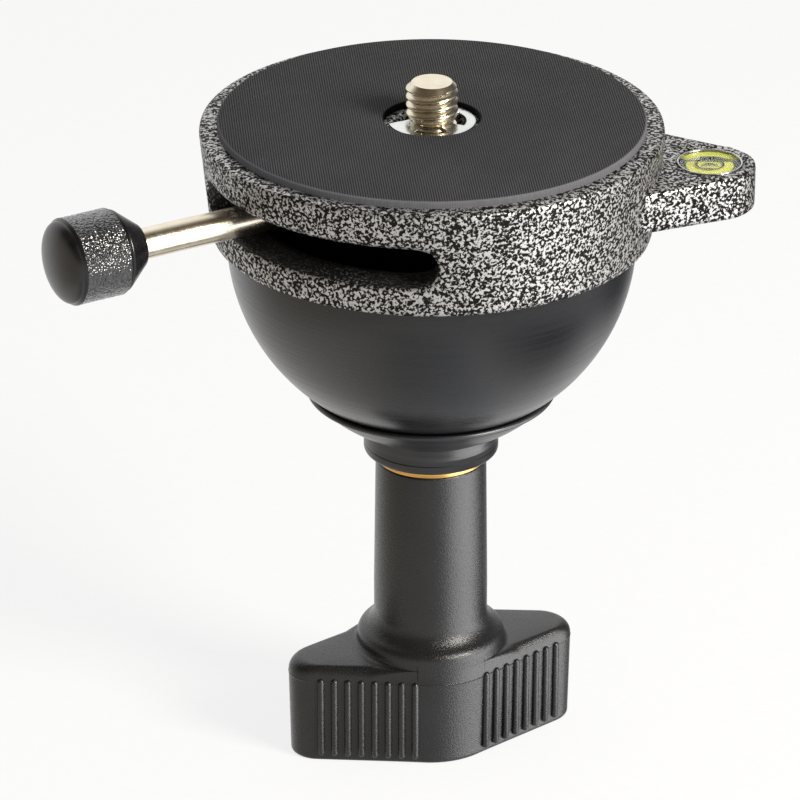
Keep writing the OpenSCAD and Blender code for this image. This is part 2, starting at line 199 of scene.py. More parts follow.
seat_z, plate_top, plate_r = plate_low[2], plate_high[2], -plate_low[0]
pad_r, pad_top = pad_high[0], pad_high[2]
ball_r = ball_high[0]
screw_r, screw_top = screw_high[0], screw_high[2]
level_at, level_r = (cup_low[0] + cup_high[0]) / 2, (cup_high[0] - cup_low[0]) / 2
spirit_r, bubble_r, bubble_y = 4.42, 1.6, -0.42
pad_hole_r = 8.8


# Finishes

def hammertone_paint():
    """Hammertone stoving paint on cast aluminium: silver islands on a sunk black ground."""
    finish, tree, shader, spot = new_finish("hammertone_paint")
    island = add(tree, "TexNoise", {
        "Vector": spot, "Scale": per_mm(0.56), "Detail": 2.0, "Roughness": 0.55, "Distortion": 0.35})
    share = add(tree, "MapRange", {"Value": island, "From Min": 0.485, "From Max": 0.55})
    tones = ((0, "#171514"), (0.5, "#5a5754"), (1, "#c2c1c0"))
    plug(tree, shader, {
        "Base Color": add(tree, "ValToRGB", {"Fac": share}, stops=tones),
        "Metallic": add(tree, "MapRange", {"Value": share, "To Max": 0.8}),
        "Roughness": add(tree, "MapRange", {"Value": share, "To Min": 0.5, "To Max": 0.42}),
        "Specular IOR Level": add(tree, "MapRange", {"Value": share, "To Min": 0.06, "To Max": 0.5}),
        "Normal": add(tree, "Bump", {"Height": island, "Distance": 0.16 * MM, "Strength": 0.8})})
    return finish


def black_primer():
    """Black primer on the milled walls of the slot: nearly matt, with a few scratches down to the metal."""
    finish, tree, shader, spot = new_finish("black_primer", IOR=1.5)
    scratch = add(tree, "TexNoise", {"Vector": spot, "Scale": per_mm(0.5), "Detail": 2.0, "Roughness": 0.6})
    plug(tree, shader, {
        "Base Color": add(tree, "ValToRGB", {"Fac": scratch}, stops=((0.55, "#08080a"), (0.64, "#6a6864"))),
        "Roughness": add(tree, "MapRange", {"Value": scratch, "To Min": 0.6, "To Max": 0.4}),
        "Normal": add(tree, "Bump", {"Height": scratch, "Distance": 0.06 * MM, "Strength": 1.0})})
    return finish


def black_anodised_ball():
    """Black anodised aluminium, turned: satin, with a trace of the tool's rings."""
    finish, tree, shader, spot = new_finish("black_anodised_ball", IOR=1.6)
    rings = add(tree, "Mapping", {"Vector": spot, "Scale": (60, 60, per_mm(0.6))})
    trace = add(tree, "TexNoise", {"Vector": rings, "Scale": 1.0, "Detail": 2.0})
    plug(tree, shader, {
        "Base Color": add(tree, "ValToRGB", {"Fac": trace}, stops=((0.3, "#0f1012"), (0.7, "#151619"))),
        "Roughness": add(tree, "MapRange", {
            "Value": trace, "From Min": 0.3, "From Max": 0.7, "To Min": 0.24, "To Max": 0.32}),
        "Normal": add(tree, "Bump", {"Height": trace, "Distance": 0.004 * MM, "Strength": 0.5})})
    return finish


def black_anodised_clamp():
    """Black anodised aluminium, turned coarser: grey rings in the light."""
    finish, tree, shader, spot = new_finish("black_anodised_clamp", IOR=1.6)
    rings = add(tree, "Mapping", {"Vector": spot, "Scale": (40, 40, per_mm(0.35))})
    trace = add(tree, "TexNoise", {"Vector": rings, "Scale": 1.0, "Detail": 3.0})
    plug(tree, shader, {
        "Base Color": add(tree, "ValToRGB", {"Fac": trace}, stops=((0.3, "#131416"), (0.7, "#222326"))),
        "Roughness": add(tree, "MapRange", {
            "Value": trace, "From Min": 0.3, "From Max": 0.7, "To Min": 0.28, "To Max": 0.4}),
        "Normal": add(tree, "Bump", {"Height": trace, "Distance": 0.01 * MM, "Strength": 0.6})})
    return finish


def woven_rubber():
    """Rubber pressed on cloth: charcoal, matt, with a fine speckled weave, a paler band painted along its
    outer edge as a highlight, and painted shade making the hole's wall near-black.
    """
    finish, tree, shader, spot = new_finish("woven_rubber", IOR=1.5, Specular_IOR_Level=0.2)
    threads = add(tree, "Mapping", {
        "Vector": spot, "Rotation": (0, 0, math.radians(38)), "Scale": (1, 1, 0)})
    weave = add(tree, "TexChecker", {"Vector": threads, "Scale": per_mm(0.31)}, out="Fac")
    wear = add(tree, "TexNoise", {"Vector": spot, "Scale": per_mm(14), "Detail": 4.0})
    thread = add(tree, "ValToRGB", {"Fac": weave}, stops=((0, "#020202"), (1, "#57575a")))
    dust = add(tree, "ValToRGB", {"Fac": wear}, stops=((0.35, "#e4e4e4"), (0.7, "#ffffff")))
    # of a Mix node, 0 is the share, 6 and 7 are the two colours, and output 2 is their mix
    cloth = add(tree, "Mix", {0: 1.0, 6: thread, 7: dust}, 2, data_type="RGBA", blend_type="MULTIPLY")
    flat = add(tree, "Mapping", {"Vector": spot, "Scale": (1 / MM, 1 / MM, 0)})
    reach = add(tree, "VectorMath", {0: flat}, "Value", operation="LENGTH")
    # Painted highlight: a paler band along the outer edge stands in for the lit side of the cut edge.
    edge_painted_highlight = add(tree, "MapRange", {
        "Value": reach, "From Min": pad_r - 0.4, "From Max": pad_r - 0.15, "To Max": 0.8})
    # Painted shade: the wall of the hole is coloured near-black where it lies in shadow.
    hole_wall_painted_shade = add(tree, "MapRange", {
        "Value": reach, "From Min": pad_hole_r + 0.1, "From Max": pad_hole_r + 0.3,
        "To Min": 1, "To Max": 0})
    edged = add(tree, "Mix", {0: edge_painted_highlight, 6: cloth, 7: linear("#6e6e72")}, 2, data_type="RGBA")
    plug(tree, shader, {
        "Base Color": add(tree, "Mix", {0: hole_wall_painted_shade, 6: edged, 7: linear("#050505")}, 2, data_type="RGBA"),
        "Roughness": add(tree, "MapRange", {"Value": wear, "To Min": 0.72, "To Max": 0.88}),
        "Normal": add(tree, "Bump", {"Height": weave, "Distance": 0.06 * MM, "Strength": 1.0})})
    return finish


def bright_plate(name, dull, clear):
    """Bright plate on turned steel, warm for nickel and cool for zinc: fine lines and a faint haze."""
    finish, tree, shader, spot = new_finish(name, Metallic=1.0)
    haze = add(tree, "TexNoise", {"Vector": spot, "Scale": per_mm(3), "Detail": 5.0})
    grain = add(tree, "TexNoise", {"Vector": spot, "Scale": per_mm(0.25), "Detail": 1.0})
    plug(tree, shader, {
        "Base Color": add(tree, "ValToRGB", {"Fac": haze}, stops=((0.3, dull), (0.7, clear))),
        "Roughness": add(tree, "MapRange", {
            "Value": haze, "From Min": 0.3, "From Max": 0.7, "To Min": 0.2, "To Max": 0.3}),
        "Normal": add(tree, "Bump", {"Height": grain, "Distance": 0.004 * MM, "Strength": 0.4})})
    return finish


def turned_aluminium():
    """Turned aluminium of the level's cup: pale, with a soft shine."""
    finish, tree, shader, spot = new_finish("turned_aluminium", Metallic=1.0)
    haze = add(tree, "TexNoise", {"Vector": spot, "Scale": per_mm(1.2), "Detail": 3.0})
    plug(tree, shader, {
        "Base Color": add(tree, "ValToRGB", {"Fac": haze}, stops=((0.3, "#c2c4c0"), (0.7, "#dcdeda"))),
        "Roughness": add(tree, "MapRange", {"Value": haze, "To Min": 0.16, "To Max": 0.28})})
    return finish


def under_lens(name, near_y, far_y, stops, **constants):
    """A piece seen through the level's lens, with light and shade painted into its colour from the near to
    the far side.
    """
    finish, tree, shader, spot = new_finish(name, **constants)
    across = add(tree, "SeparateXYZ", {0: spot}, "Y")
    share = add(tree, "MapRange", {"Value": across, "From Min": near_y * MM, "From Max": far_y * MM})
    plug(tree, shader, {"Base Color": add(tree, "ValToRGB", {"Fac": share}, stops=stops)})
    return finish


def level_spirit():
    """Dyed spirit of the level: a bright yellow-green, with the painted shadow of the far wall darkening its
    far side.
    """
    # The dark olive stops past 0.7 are the painted shadow of the far wall.
    tones = ((0.1, "#e3e25a"), (0.67, "#d2d648"), (0.72, "#3c4620"), (1, "#2c3414"))
    return under_lens("level_spirit", -spirit_r, spirit_r, tones,
                      Roughness=0.15, IOR=1.36, Specular_IOR_Level=0.1)


def tinted_acrylic_painted_glow():
    """Tinted acrylic round the spirit: grey-green, with painted light: paler olive on the near side and a
    painted yellow glow along the far side.
    """
    # The pale olive near stop and the bright yellow far stops are painted light; the dark middle is the
    # grey-green tint.
    tones = ((0.2, "#8f915a"), (0.36, "#1d1e17"), (0.66, "#2a2b20"), (0.8, "#cfd258"))
    return under_lens("tinted_acrylic_painted_glow", -level_r, level_r, tones,
                      Roughness=0.3, IOR=1.49, Specular_IOR_Level=0.1)


def trapped_air():
    """The level's bubble: a grey-green disc with a painted highlight across its near middle and painted
    shade along its near and far edges.
    """
    # The dark end stops are painted shade at the bubble's edges; the pale stop is a painted highlight.
    tones = ((0.08, "#3a4420"), (0.25, "#d8da70"), (0.5, "#8b9150"), (0.8, "#333b1c"))
    return under_lens("trapped_air", bubble_y - bubble_r, bubble_y + bubble_r, tones,
                      Roughness=0.1, IOR=1.36, Specular_IOR_Level=0.1)


def clear_acrylic():
    """Clear moulded acrylic: glassy, with a trace of green."""
    finish, tree, shader, spot = new_finish("clear_acrylic", IOR=1.49, Transmission_Weight=1.0, Alpha=0.12)
    flow = add(tree, "TexNoise", {"Vector": spot, "Scale": per_mm(5), "Detail": 1.0})
    plug(tree, shader, {
        "Base Color": add(tree, "ValToRGB", {"Fac": flow}, stops=((0.3, "#f4f8e4"), (0.7, "#fcfef4"))),
        "Roughness": add(tree, "MapRange", {"Value": flow, "To Min": 0.01, "To Max": 0.04})})
    return finish


def screen_ink():
    """Black screen-printed ink on the lens's underside, without a shine of its own."""
    finish, tree, shader, spot = new_finish("screen_ink", IOR=1.5, Specular_IOR_Level=0.05)
    grit = add(tree, "TexNoise", {"Vector": spot, "Scale": per_mm(0.3), "Detail": 1.0})
    plug(tree, shader, {
        "Base Color": add(tree, "ValToRGB", {"Fac": grit}, stops=((0.3, "#0b0c08"), (0.7, "#14150f"))),
        "Roughness": add(tree, "MapRange", {"Value": grit, "To Min": 0.45, "To Max": 0.6})})
    return finish


def moulded_phenolic():
    """Black phenolic moulding of the knob: deep gloss with soft waves in it."""
    finish, tree, shader, spot = new_finish("moulded_phenolic", IOR=1.6)
    wave = add(tree, "TexNoise", {"Vector": spot, "Scale": per_mm(2.2), "Detail": 2.0})
    plug(tree, shader, {
        "Base Color": add(tree, "ValToRGB", {"Fac": wave}, stops=((0.3, "#0d0d0f"), (0.7, "#17171a"))),
        "Roughness": add(tree, "MapRange", {"Value": wave, "To Min": 0.2, "To Max": 0.32}),
        "Normal": add(tree, "Bump", {"Height": wave, "Distance": 0.02 * MM, "Strength": 0.4})})
    return finish


def pebbled_phenolic():
    """Black phenolic with a fine pebbled grain under a clear coat, whose small domes catch the light; its
    colour is painted lighter on the domes and darker in the hollows, as light and shade.
    """
    finish, tree, shader, spot = new_finish(
        "pebbled_phenolic", IOR=1.6, Coat_Weight=1.0, Coat_Roughness=0.12, Coat_IOR=1.75)
    pebbles = add(tree, "TexVoronoi", {"Vector": spot, "Scale": per_mm(0.5)})
    domes = add(tree, "Bump", {"Height": pebbles, "Distance": -0.2 * MM, "Strength": 1.0})
    plug(tree, shader, {
        # Painted light and shade: lighter on the domes' tops, darker in the hollows between them.
        "Base Color": add(tree, "ValToRGB", {"Fac": pebbles}, stops=((0.2, "#303033"), (0.7, "#0c0c0d"))),
        "Roughness": add(tree, "MapRange", {
            "Value": pebbles, "From Min": 0.2, "From Max": 0.7, "To Min": 0.16, "To Max": 0.4}),
        "Normal": domes, "Coat Normal": domes})
    return finish


def glass_filled_nylon():
    """Glass-filled nylon, moulded in a spark-eroded tool: black, with a fine sparkling grain."""
    finish, tree, shader, spot = new_finish("glass_filled_nylon", IOR=1.53)
    grain = add(tree, "TexNoise", {"Vector": spot, "Scale": per_mm(0.24), "Detail": 2.0, "Roughness": 0.6})
    cloud = add(tree, "TexNoise", {"Vector": spot, "Scale": per_mm(9), "Detail": 3.0})
    plug(tree, shader, {
        "Base Color": add(tree, "ValToRGB", {"Fac": cloud}, stops=((0.3, "#151516"), (0.7, "#1b1b1c"))),
        "Roughness": add(tree, "MapRange", {
            "Value": grain, "From Min": 0.3, "From Max": 0.7, "To Min": 0.2, "To Max": 0.36}),
        "Normal": add(tree, "Bump", {"Height": grain, "Distance": 0.07 * MM, "Strength": 1.0})})
    return finish


def turned_brass():
    """Turned brass: warm gold, with fine rings from the tool."""
    finish, tree, shader, spot = new_finish("turned_brass", Metallic=1.0)
    rings = add(tree, "Mapping", {"Vector": spot, "Scale": (30, 30, per_mm(0.2))})
    trace = add(tree, "TexNoise", {"Vector": rings, "Scale": 1.0, "Detail": 2.0})
    plug(tree, shader, {
        "Base Color": add(tree, "ValToRGB", {"Fac": trace}, stops=((0.3, "#d29a45"), (0.7, "#ecc27a"))),
        "Roughness": add(tree, "MapRange", {"Value": trace, "To Min": 0.22, "To Max": 0.36})})
    return finish


def zinc_plate():
    """Zinc-plated steel of the hidden fasteners: grey, with a fine spangle."""
    finish, tree, shader, spot = new_finish("zinc_plate", Metallic=1.0)
    spangle = add(tree, "TexVoronoi", {"Vector": spot, "Scale": per_mm(1.5)})
    plug(tree, shader, {
        "Base Color": add(tree, "ValToRGB", {"Fac": spangle}, stops=((0.1, "#a6a9ac"), (0.7, "#8d9093"))),
        "Roughness": add(tree, "MapRange", {"Value": spangle, "To Min": 0.28, "To Max": 0.42})})
    return finish


def natural_nylon():
    """Natural nylon of the thrust washer: milky and waxy."""
    finish, tree, shader, spot = new_finish("natural_nylon", IOR=1.53)
    cloud = add(tree, "TexNoise", {"Vector": spot, "Scale": per_mm(2), "Detail": 3.0})
    plug(tree, shader, {
        "Base Color": add(tree, "ValToRGB", {"Fac": cloud}, stops=((0.3, "#cbc6b6"), (0.7, "#ddd8c9"))),
        "Roughness": add(tree, "MapRange", {"Value": cloud, "To Min": 0.45, "To Max": 0.6})})
    return finish


hammertone = hammertone_paint()
primer = black_primer()
ball_black = black_anodised_ball()
clamp_black = black_anodised_clamp()
rubber = woven_rubber()
nickel = bright_plate("nickel_plate", "#d9cdb4", "#e9e1ce")
clip_zinc = bright_plate("bright_zinc_plate", "#cfd1cc", "#e2e4df")
level_metal = turned_aluminium()
spirit = level_spirit()
tinted = tinted_acrylic_painted_glow()
bubble_air = trapped_air()
acrylic = clear_acrylic()
ink = screen_ink()
phenolic = moulded_phenolic()
pebbled = pebbled_phenolic()
grip_black = glass_filled_nylon()
brass = turned_brass()
zinc = zinc_plate()
nylon = natural_nylon()


# Finish of every solid of the frame, by its slot in the record

SLOT_FINISH = {
    "hammertone_casting": hammertone, "black_ball": ball_black, "pad_rubber": rubber, "steel": zinc,
    "nickel": nickel, "level_metal": level_metal, "level_fluid": spirit, "level_mark": ink,
    "level_lens": acrylic, "knob_plastic": phenolic, "brass": brass, "nylon": nylon,
    "clamp_black": clamp_black, "grip_nylon": grip_black,
}
for part in frame["record"]["subparts"]:
    solid = frame["nodes"][part["node"]]
    solid.data.materials.clear()
    solid.data.materials.append(SLOT_FINISH[part["material_slot"]])


# Head plate: a cast ring with a slot for the lever, and an ear for the level

plate_draft = 2
web_t = 5.1
web_rings = (12, 24)        # radii of the rows across the web
skirt_wall = 9.5
shank_in, shank_gap = 0.3, 0.1
shank_r = screw_r - shank_in
sink_r, sink_h = 6.4, 3.2
slot_from, slot_to, slot_h = 193, 273, 7.6
slot_ease = 1.0        # smoothing draws the slot's round ends in by about this much
slot_up, cup_proud = 9.37, 0.15
slot_z = seat_z + slot_up
ear_top = cup_high[2] - cup_proud
ear_t = 8
ear_tip_r = plate_high[0] - level_at
ear_taper = 26
ear_span = 22.5
ear_steps = (0.04, 0.32, 0.66, 0.93, 1)        # shares of the way from the wall to the tip
seat_fan = 18        # degrees between the vertices of the level's seat
crease_from, edge_crease, seat_crease = 50, 0.42, 0.95
plate_columns = 72
column_step = 360 / plate_columns
skirt_r = plate_r - skirt_wall


def plate_side(z):
    """Radius of the plate's leaning side at a height."""
    return plate_r - plate_draft * (plate_top - z) / (plate_top - seat_z)


def window(bm, near, far, first, last):
    """Faces of the ring's wall between two radii and two directions, at the height of slot and ear."""
    found = []
    for face in bm.faces:
        radius, degrees, z = polar(face.calc_center_median())
        if near < radius < far and ear_top - ear_t < z < ear_top and (degrees - first) % 360 < last - first:
            found.append(face)
    return found


def cut_slot(bm):
    """Opens the wall, rounds the opening's ends and walls it through."""
    middle, radius = (slot_from + slot_to) / 2, slot_h / 2
    reach = plate_side(slot_z)
    run = math.radians(slot_to - slot_from) / 2 * reach - radius + slot_ease
    first = slot_from - (slot_from + column_step / 2) % column_step
    last = slot_to - (slot_to + column_step / 2) % column_step
    bmesh.ops.delete(bm, geom=window(bm, skirt_r - 1, plate_r, first, last), context="FACES")
    edges = [edge for edge in bm.edges if edge.is_boundary]
    for vert in {vert for edge in edges for vert in edge.verts}:
        r, degrees, z = polar(vert.co)
        along, up = math.radians(degrees - middle) * reach, z - slot_z
        inside = r < skirt_r + 1
        if abs(along) > run:
            bend = math.atan2(up, abs(along) - run)
            end = radius * math.cos(bend) * (reach / skirt_r if inside else 1)
            along, up = math.copysign(run + end, along), radius * math.sin(bend)
        else:
            up = math.copysign(radius, up)
        z = slot_z + up
        wall = skirt_r if inside else plate_side(z)
        vert.co = from_polar(wall, middle + math.degrees(along / reach), z)
    for face in bmesh.ops.bridge_loops(bm, edges=edges)["faces"]:
        face.material_index = 1


def grow_ear(bm):
    """Draws the ear out of the wall in steps, then sinks the level's seat into it."""
    across = bm.verts.layers.float.new("across")
    along = bm.verts.layers.float.new("along")
    region = window(bm, skirt_r + 2, plate_r, -ear_span, ear_span)
    for vert in {vert for face in region for vert in face.verts}:
        vert[across] = (polar(vert.co)[1] + 180) % 360 / ear_span - 180 / ear_span
    for step in ear_steps:
        grown = bmesh.ops.extrude_face_region(bm, geom=region)["geom"]
        bmesh.ops.delete(bm, geom=region, context="FACES")
        region = [item for item in grown if isinstance(item, bmesh.types.BMFace)]
        for vert in (item for item in grown if isinstance(item, bmesh.types.BMVert)):
            z = polar(vert.co)[2]
            tip = from_polar(ear_tip_r, vert[across] * (90 - ear_taper), z) + Vector((level_at * MM, 0, 0))
            vert.co = from_polar(plate_side(z), vert[across] * ear_span, z).lerp(tip, step)
            vert[along] = step
    back, front = ear_steps[1], ear_steps[3]
    inner = 1 - 0.5 * column_step / ear_span
    lid = [face for face in bm.faces if all(
        back - CLOSE < vert[along] < front + CLOSE and abs(vert[across]) < inner
        and abs(polar(vert.co)[2] - ear_top) < CLOSE for vert in face.verts)]
    bmesh.ops.delete(bm, geom=lid, context="FACES")
    rim = [edge for edge in bm.edges if edge.is_boundary]
    ring_r = level_r * 3 / (2 + math.cos(math.radians(seat_fan)))
    for vert in {vert for edge in rim for vert in edge.verts}:
        column = vert[across] * ear_span / column_step
        degrees = column * seat_fan
        if vert[along] < back + CLOSE:
            degrees = math.copysign(180, column) - degrees
        elif vert[along] < front - CLOSE:
            degrees = math.copysign(90, column)
        vert.co = from_polar(ring_r, degrees, ear_top) + Vector((level_at * MM, 0, 0))
    sunk = bmesh.ops.extrude_edge_only(bm, edges=rim)["geom"]
    for vert in (item for item in sunk if isinstance(item, bmesh.types.BMVert)):
        vert.co.z = cup_low[2] * MM
    bmesh.ops.holes_fill(bm, edges=[edge for edge in bm.edges if edge.is_boundary])


def head_plate():
    """The ring with its web, slot and ear. Creases keep its edges tight under the smoothing."""
    ear_low = ear_top - ear_t
    levels = (ear_low, ear_low + ear_t / 2, ear_top)
    outer = [seat_z, (seat_z + ear_low) / 2, *levels, (ear_top + plate_top) / 2, plate_top]
    web_z = plate_top - web_t
    section = [(plate_side(z), z) for z in outer]
    hole_r = shank_r + shank_gap
    section += [(r, plate_top) for r in (pad_r - 1, *reversed(web_rings), sink_r)]
    section += [(sink_r, plate_top - sink_h), (hole_r, plate_top - sink_h)]
    section += [(r, web_z) for r in (hole_r, *web_rings, skirt_r)]
    section += [(skirt_r, z) for z in (*reversed(levels), seat_z)]
    section += [((skirt_r + plate_r) / 2, seat_z)]
    bm = lathe(section, plate_columns, closed=True)
    place(bm, turn(column_step / 2, "Z"))
    cut_slot(bm)
    grow_ear(bm)
    tidy(bm)
    crease = bm.edges.layers.float.new("crease_edge")
    seat_mid = Vector((level_at, 0, ear_top)) * MM
    for edge in bm.edges:
        if edge.is_convex and edge.calc_face_angle(0) > math.radians(crease_from):
            at_seat = all((vert.co - seat_mid).length < (level_r + 0.3) * MM for vert in edge.verts)
            edge[crease] = seat_crease if at_seat else edge_crease
    return bm


casting = add_piece("plate_casting", head_plate(), "base", hammertone, "hammertone_casting",
                    "top_plate", levels=2)
casting.data.materials.append(primer)


# Friction pad with its worn edge

pad_edge = 0.35
pad_rings = (30, 20)        # radii of the rows across its top
pad_section = [(pad_hole_r, plate_top), (pad_r, plate_top)]
pad_section += arc(pad_r - pad_edge, pad_top - pad_edge, pad_edge, 0, 90, 4)
pad_section += [(r, pad_top) for r in pad_rings]
pad_section += arc(pad_hole_r + pad_edge, pad_top - pad_edge, pad_edge, 90, 180, 4)
add_piece("friction_sheet", lathe(pad_section, WIDE_STEPS, closed=True), "base", rubber, "pad_rubber",
          "friction_pad")


# Half ball, hollow, with its seat under the plate

ball_wall = 5
spigot_h, spigot_wall, spigot_gap = 2.5, 3.3, 0.1
bore_r = 5
seat_edge = 0.5
seat_deg = math.degrees(math.asin((seat_z - seat_edge) / ball_r))
bore_deg = math.degrees(math.acos(bore_r / ball_r))
spigot_r = skirt_r - spigot_gap
hollow_from, hollow_to = -3, 1 - bore_deg
ball_section = arc(0, 0, ball_r, -bore_deg, seat_deg, 40)
ball_section += [(ball_r - seat_edge, seat_z), (spigot_r, seat_z), (spigot_r, seat_z + spigot_h)]
ball_section += [(spigot_r - spigot_wall, seat_z + spigot_h)]
ball_section += arc(0, 0, ball_r - ball_wall, hollow_from, hollow_to, 30)
add_piece("ball_shell", lathe(ball_section, WIDE_STEPS, closed=True), "base", ball_black, "black_ball",
          "half_ball")


# Head screw with a running thread, a neck for the clip and a plain shank

screw_pitch = 1.5875
thread_depth = 0.5 * screw_pitch
thread_gap, thread_runout = 0.3, 0.8
thread_from = clip_high[2] + thread_gap
screw_tip = 1.1
thread_phase = 9.06        # from the top down to where the ridge starts
root_r = screw_r - thread_depth
thread_steps = 60
neck_in, neck_chamfer = 4.0, 0.1
thread_weld = 0.002


def head_screw():
    """A thread spun from one ridge, cut off at both ends, with the neck and shank drawn out below."""
    low, flank, brow = root_r + 0.1, screw_r - 0.25, screw_r - 0.06
    ridge = [(root_r, 0), (low, 0.05), (flank, 0.22), (brow, 0.33), (screw_r, 0.45),
             (brow, 0.57), (flank, 0.68), (low, 0.87), (root_r, 0.93), (root_r, 1)]
    turns = math.ceil((screw_top - thread_from) / screw_pitch) + 2
    bm = bmesh.new()
    start = screw_top - thread_phase
    verts = [bm.verts.new((r * MM, 0, (start + share * screw_pitch) * MM)) for r, share in ridge]
    edges = [bm.edges.new(pair) for pair in zip(verts, verts[1:])]
    bmesh.ops.spin(bm, geom=verts + edges, cent=(0, 0, 0), axis=(0, 0, 1), angle=math.tau * turns,
                   dvec=(0, 0, screw_pitch * MM / thread_steps), steps=thread_steps * turns)
    bmesh.ops.remove_doubles(bm, verts=bm.verts, dist=thread_weld * MM)
    for height, clear_up in ((screw_top, True), (thread_from, False)):
        bmesh.ops.bisect_plane(bm, geom=bm.verts[:] + bm.edges[:] + bm.faces[:], dist=1e-7,
                               plane_co=(0, 0, height * MM), plane_no=(0, 0, 1),
                               clear_outer=clear_up, clear_inner=not clear_up)
    for vert in bm.verts:
        r, degrees, z = polar(vert.co)
        limit = screw_r - max(0, z - (screw_top - screw_tip))
        limit = min(limit, root_r + max(0, z - thread_from) * thread_runout + 0.05)
        if r > limit:
            vert.co = from_polar(limit, degrees, z)
    foot = [edge for edge in bm.edges if edge.is_boundary and polar(edge.verts[0].co)[2] < thread_from + 0.1]
    waist_r = clip_high[0] - neck_in
    neck = ((waist_r, thread_from - neck_chamfer), (waist_r, clip_low[2]))
    shank = ((shank_r, clip_low[2]), (shank_r, screw_low[2]))
    for radius, height in (*neck, *shank):
        grown = bmesh.ops.extrude_edge_only(bm, edges=foot)["geom"]
        foot = [item for item in grown if isinstance(item, bmesh.types.BMEdge)]
        for vert in (item for item in grown if isinstance(item, bmesh.types.BMVert)):
            vert.co = from_polar(radius, polar(vert.co)[1], height)
    bmesh.ops.remove_doubles(bm, verts=bm.verts, dist=thread_weld * MM)
    bmesh.ops.holes_fill(bm, edges=[edge for edge in bm.edges if edge.is_boundary])
    return tidy(bm)


add_piece("head_screw_thread", head_screw(), "lever", nickel, "nickel", "head_screw", sharp=32)


# Retaining clip: a ring with a mouth, three inner lugs and rounded edges

clip_band, clip_edge = 1.7, 0.1
clip_mouth = 140
clip_mouth_at, clip_mouth_flare = 2.4, 70
clip_voids = (100, 200)
clip_void_arc = 60
clip_bite = 0.82
clip_grip_r = screw_r - clip_bite


def retaining_clip():
    """A flat ring without its mouth and voids, drawn up to its thickness."""
    clip_r, height = clip_high[0], clip_high[2] - clip_low[2]
    bm = lathe([(clip_grip_r, clip_low[2]), (clip_r - clip_band, clip_low[2]), (clip_r, clip_low[2])], 180)
    tip = from_polar(clip_mouth_at, clip_mouth, clip_low[2])
    sides = [from_polar(1, clip_mouth + lean, 0) for lean in (90 + clip_mouth_flare, -90 - clip_mouth_flare)]
    for side in sides:
        bmesh.ops.bisect_plane(bm, geom=bm.verts[:] + bm.edges[:] + bm.faces[:], dist=1e-7,
                               plane_co=tip, plane_no=side)
    gone = []
    for face in bm.faces:
        middle = face.calc_center_median()
        r, degrees, z = polar(middle)
        from_mouth = (degrees - clip_mouth) % 360
        mouth = all((middle - tip).dot(side) < 0 for side in sides)
        void = r < clip_r - clip_band and any(0 < from_mouth - start < clip_void_arc for start in clip_voids)
        if mouth or void:
            gone.append(face)
    bmesh.ops.delete(bm, geom=gone, context="FACES")
    grown = bmesh.ops.extrude_face_region(bm, geom=bm.faces[:], use_keep_orig=True)["geom"]
    lifted = [item for item in grown if isinstance(item, bmesh.types.BMVert)]
    bmesh.ops.translate(bm, vec=(0, 0, height * MM), verts=lifted)
    bmesh.ops.recalc_face_normals(bm, faces=bm.faces)
    edges = [edge for edge in bm.edges if edge.calc_face_angle(0) > math.radians(60)
             and abs(edge.verts[0].co.z - edge.verts[1].co.z) < 1e-6]
    bmesh.ops.bevel(bm, geom=edges, offset=clip_edge * MM, offset_type="OFFSET", affect="EDGES", segments=2,
                    profile=0.5, material=-1)
    return tidy(bm)


add_piece("clip_ring", retaining_clip(), "lever", clip_zinc, "nickel", "retaining_clip", sharp=30)


# Lever: a drawn rod with a turned end, and a knob with a pebbled band

lever_at = 213.5
lever_z = (rod_low[2] + rod_high[2]) / 2
rod_r = (rod_high[2] - rod_low[2]) / 2
hub_r = span("drive_hub")[1][0]
knob_len, knob_r, knob_reach = 17.1, 7.87, 77.77
knob_cone, knob_dome, knob_step, knob_lip = 4.9, 2.6, 0.4, 0.5
knob_from = knob_reach - knob_len
pebble, pebble_height = 0.62, 0.1
pebble_share, pebble_fade = 0.62, 0.4        # a dome's share of its cell, and the way it takes to rise
mouth_gap, mouth_lip, nose_round = 0.12, 0.5, 0.3
bore_gap, bore_end = 0.9, 10.5
shoulder_round, dome_round = 0.5, 0.35
band_in, band_ease, band_rows = 0.05, 0.15, 46


def along_lever(bm):
    """Lays a shape that was turned about Z along the lever."""
    return place(bm, turn(90, "Y"), shift(0, 0, lever_z), turn(lever_at, "Z"))


rod_edge, rod_neck, rod_tip = 0.3, 0.4, 0.5
rod_from, rod_step, rod_to = screw_r + 0.45, hub_r + 0.3, knob_from + 10
rod_rows = (30, 45)        # distances from the screw's axis
rod_section = [(0, rod_from), (rod_r - rod_neck, rod_from), (rod_r - rod_neck, rod_step)]
rod_section += arc(rod_r - rod_edge, rod_step + rod_edge, rod_edge, -90, 0, 3)
rod_section += [(rod_r, row) for row in (*rod_rows, rod_to - rod_tip)]
rod_section += [(rod_r - rod_tip, rod_to), (0, rod_to)]
rod = add_piece("drawn_rod", along_lever(lathe(rod_section, 64)), "lever", nickel, "nickel", "lever_rod")


